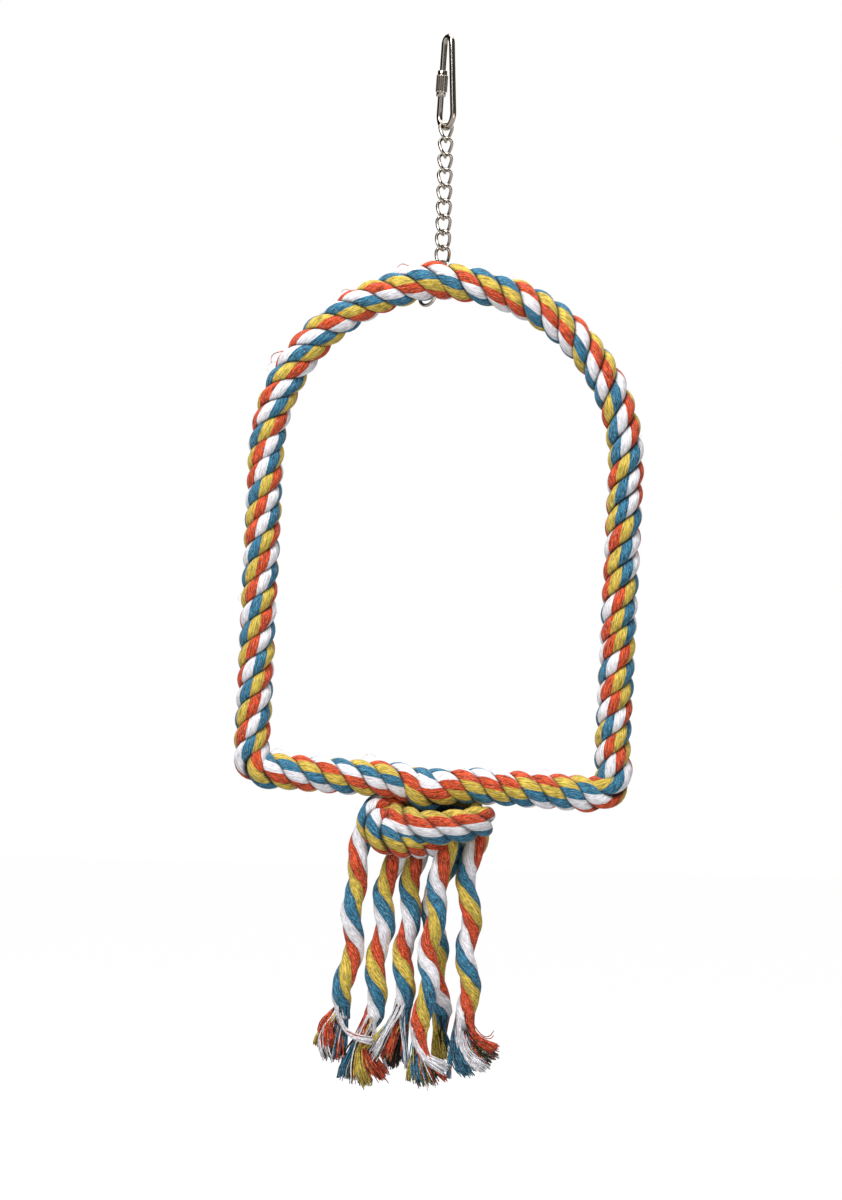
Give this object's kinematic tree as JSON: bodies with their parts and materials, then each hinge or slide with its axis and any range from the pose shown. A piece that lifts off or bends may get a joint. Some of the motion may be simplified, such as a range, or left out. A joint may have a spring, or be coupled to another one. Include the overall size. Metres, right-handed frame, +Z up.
{
  "type": "rope bird swing",
  "caption": "Rope bird swing: an arched rope frame with a straight perch and a frayed half-knot tassel, hung on a ring, a short twisted chain and a screw link.",
  "frame": {"origin": "inside of the screw link's top bend, where it bears on the bar or hook that carries the swing", "axes": "+Z up along the plumb line, +X to the right along the perch, -Y to the front"},
  "size_m": [0.2234, 0.0418, 0.5855],
  "materials": {
    "nickel": "bright nickel plate",
    "core_steel": "plain wire",
    "cotton_orange": "matte yarn",
    "cotton_yellow": "matte yarn",
    "cotton_blue": "matte yarn",
    "cotton_white": "matte yarn"
  },
  "bodies": {
    "screw_link": {"screw_link": "nickel"},
    "nut": {"sleeve_nut": "nickel"},
    "link_1": {"chain_link_1": "nickel"},
    "link_2": {"chain_link_2": "nickel"},
    "link_3": {"chain_link_3": "nickel"},
    "link_4": {"chain_link_4": "nickel"},
    "link_5": {"chain_link_5": "nickel"},
    "link_6": {"chain_link_6": "nickel"},
    "link_7": {"chain_link_7": "nickel"},
    "link_8": {"chain_link_8": "nickel"},
    "link_9": {"chain_link_9": "nickel"},
    "frame": {"rope_ring": "nickel", "frame_rope": "cotton_orange", "core_wire": "core_steel", "knot_left_end": "cotton_blue", "knot_right_end": "cotton_yellow"},
    "tail_1": {"tail_strand_1": "cotton_blue"},
    "tail_2": {"tail_strand_2": "cotton_orange"},
    "tail_3": {"tail_strand_3": "cotton_yellow"},
    "tail_4": {"tail_strand_4": "cotton_orange"},
    "tail_5": {"tail_strand_5": "cotton_yellow"},
    "tail_6": {"tail_strand_6": "cotton_white"}
  },
  "joints": [
    {"name": "nut_slide", "type": "slide", "parent": "screw_link", "child": "nut", "axis": [-0.0449, 0.0777, -0.996], "range_m": [0, 0.009]},
    {"name": "link_1_swing", "type": "hinge", "parent": "screw_link", "child": "link_1", "pos_m": [0, 0, -0.04875], "axis": [-0.5, 0.866, 0], "range_deg": [-35, 35]},
    {"name": "link_2_swing", "type": "hinge", "parent": "link_1", "child": "link_2", "pos_m": [0, 0, -0.0544], "axis": [0.9724, -0.2334, 0], "range_deg": [-35, 35]},
    {"name": "link_3_swing", "type": "hinge", "parent": "link_2", "child": "link_3", "pos_m": [0, 0, -0.0652], "axis": [-0.061, -0.9981, 0], "range_deg": [-35, 35]},
    {"name": "link_4_swing", "type": "hinge", "parent": "link_3", "child": "link_4", "pos_m": [0, 0, -0.0716], "axis": [-0.9367, 0.3502, 0], "range_deg": [-35, 35]},
    {"name": "link_5_swing", "type": "hinge", "parent": "link_4", "child": "link_5", "pos_m": [0, 0, -0.0824], "axis": [0.1822, 0.9833, 0], "range_deg": [-35, 35]},
    {"name": "link_6_swing", "type": "hinge", "parent": "link_5", "child": "link_6", "pos_m": [0, 0, -0.0888], "axis": [0.887, -0.4617, 0], "range_deg": [-35, 35]},
    {"name": "link_7_swing", "type": "hinge", "parent": "link_6", "child": "link_7", "pos_m": [0, 0, -0.0996], "axis": [-0.3007, -0.9537, 0], "range_deg": [-35, 35]},
    {"name": "link_8_swing", "type": "hinge", "parent": "link_7", "child": "link_8", "pos_m": [0, 0, -0.106], "axis": [-0.8241, 0.5664, 0], "range_deg": [-35, 35]},
    {"name": "link_9_swing", "type": "hinge", "parent": "link_8", "child": "link_9", "pos_m": [0, 0, -0.1168], "axis": [0.4147, 0.91, 0], "range_deg": [-35, 35]},
    {"name": "frame_swing", "type": "hinge", "parent": "link_9", "child": "frame", "pos_m": [0, 0, -0.1232], "axis": [0.796, -0.6053, 0], "range_deg": [-40, 40]},
    {"name": "tail_1_sway", "type": "hinge", "parent": "frame", "child": "tail_1", "pos_m": [-0.03695, 0.00852, -0.45141], "axis": [1, 0, 0], "range_deg": [-20, 20]},
    {"name": "tail_2_sway", "type": "hinge", "parent": "frame", "child": "tail_2", "pos_m": [-0.02821, 0.00972, -0.4586], "axis": [1, 0, 0], "range_deg": [-20, 20]},
    {"name": "tail_3_sway", "type": "hinge", "parent": "frame", "child": "tail_3", "pos_m": [-0.01564, 0.00852, -0.45332], "axis": [1, 0, 0], "range_deg": [-20, 20]},
    {"name": "tail_4_sway", "type": "hinge", "parent": "frame", "child": "tail_4", "pos_m": [0.00493, -0.00487, -0.45827], "axis": [1, 0, 0], "range_deg": [-20, 0]},
    {"name": "tail_5_sway", "type": "hinge", "parent": "frame", "child": "tail_5", "pos_m": [0.0087, 0.01145, -0.45914], "axis": [1, 0, 0], "range_deg": [0, 20]},
    {"name": "tail_6_sway", "type": "hinge", "parent": "frame", "child": "tail_6", "pos_m": [0.01829, 0.00392, -0.4526], "axis": [1, 0, 0], "range_deg": [-20, 20]}
  ]
}
